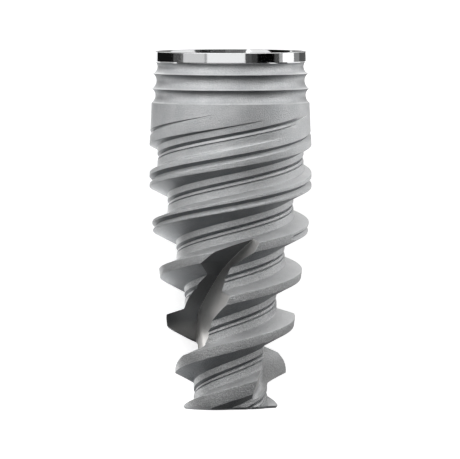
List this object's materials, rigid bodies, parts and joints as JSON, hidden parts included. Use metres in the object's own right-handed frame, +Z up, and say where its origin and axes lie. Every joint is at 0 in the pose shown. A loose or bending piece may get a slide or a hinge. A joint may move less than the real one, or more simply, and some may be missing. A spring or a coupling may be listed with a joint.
{
  "type": "dental implant",
  "caption": "Tapered root-form titanium screw with a grooved neck, deep double-start thread, two slanting apical flutes and an open hexagonal socket in its platform.",
  "frame": {"origin": "centre of the bounding box's base: the floor under the fixture as it lies", "axes": "+Z up from the floor it lies on, +Y along the fixture towards its platform end, the apex towards -Y"},
  "size_m": [0.0044, 0.0102, 0.0048],
  "materials": {
    "blasted_titanium": "satin"
  },
  "bodies": {
    "root": {"implant_fixture": "blasted_titanium"}
  },
  "joints": []
}
